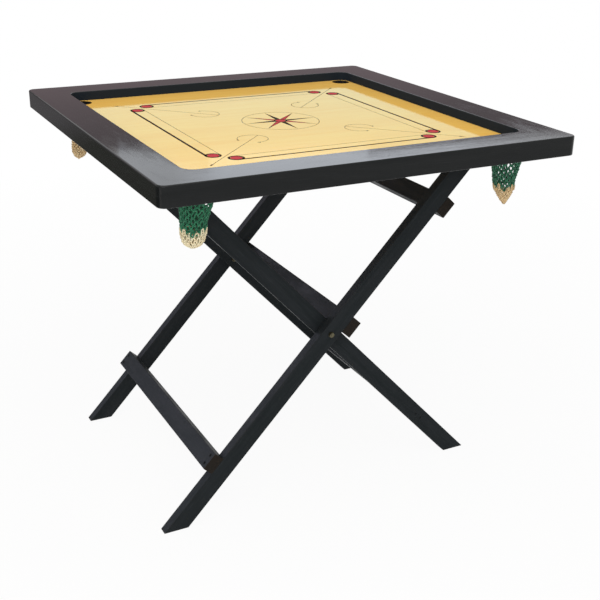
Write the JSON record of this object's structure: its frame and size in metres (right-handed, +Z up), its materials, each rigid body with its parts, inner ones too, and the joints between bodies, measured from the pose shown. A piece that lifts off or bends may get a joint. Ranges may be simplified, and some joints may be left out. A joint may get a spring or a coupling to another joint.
{
  "type": "carrom board on folding stand",
  "caption": "Square carrom board with a sunken playing surface, corner pockets and hanging nets, lying on a folding X-shaped wooden stand.",
  "frame": {"origin": "on the floor, below the centre of the board", "axes": "+Z up, +X along the near edge of the board towards the side where the inner legs stand on the floor, +Y away from the near edge"},
  "size_m": [0.894, 0.894, 0.806],
  "materials": {
    "black_frame": "semi-gloss black stain",
    "black_stand": "satin black paint",
    "playing_ply": "polished birch plywood",
    "plywood": "raw plywood",
    "raw_wood": "planed raw wood",
    "net_yarn": "knotted cotton yarn, green above and cream below",
    "plated_steel": "yellow zinc plate",
    "zinc_screws": "bright zinc plate",
    "black_screws": "painted over with the stand"
  },
  "bodies": {
    "stand_outer": {"outer_leg_near": "black_stand", "outer_leg_far": "black_stand", "outer_bottom_rail": "black_stand", "stop_rail": "black_stand", "outer_top_rail": "black_stand", "outer_rail_screws": "black_screws", "pivot_bolts": "plated_steel", "head_washers": "plated_steel", "spacer_washers": "plated_steel", "nut_washers": "plated_steel", "pivot_nuts": "plated_steel"},
    "stand_inner": {"inner_leg_near": "black_stand", "inner_leg_far": "black_stand", "inner_top_rail": "black_stand", "inner_bottom_rail": "black_stand", "inner_rail_screws": "black_screws"},
    "board": {"frame_rail_near": "black_frame", "frame_rail_far": "black_frame", "frame_rail_left": "black_frame", "frame_rail_right": "black_frame", "mitre_splines": "plywood", "playing_panel": "playing_ply", "edge_batten_near": "raw_wood", "edge_batten_far": "raw_wood", "edge_batten_left": "raw_wood", "edge_batten_right": "raw_wood", "cross_batten_lengthwise": "raw_wood", "cross_batten_crosswise": "raw_wood", "pocket_block_near_left": "raw_wood", "pocket_block_near_right": "raw_wood", "pocket_block_far_left": "raw_wood", "pocket_block_far_right": "raw_wood", "batten_screws": "zinc_screws", "pocket_net_near_left": "net_yarn", "pocket_net_near_right": "net_yarn", "pocket_net_far_left": "net_yarn", "pocket_net_far_right": "net_yarn", "net_tacks": "zinc_screws"}
  },
  "joints": [
    {"name": "board_lift", "type": "slide", "parent": "stand_outer", "child": "board", "axis": [0, 0, 1], "range_m": [0, 0.61613]},
    {"name": "stand_fold", "type": "hinge", "parent": "stand_outer", "child": "stand_inner", "pos_m": [-0.0155, 0, 0.385], "axis": [0, 1, 0], "range_deg": [0, 86.49]}
  ],
  "couplings": [
    {"joint": "stand_fold", "follows": "board_lift", "rad_per_m": 2.45}
  ]
}
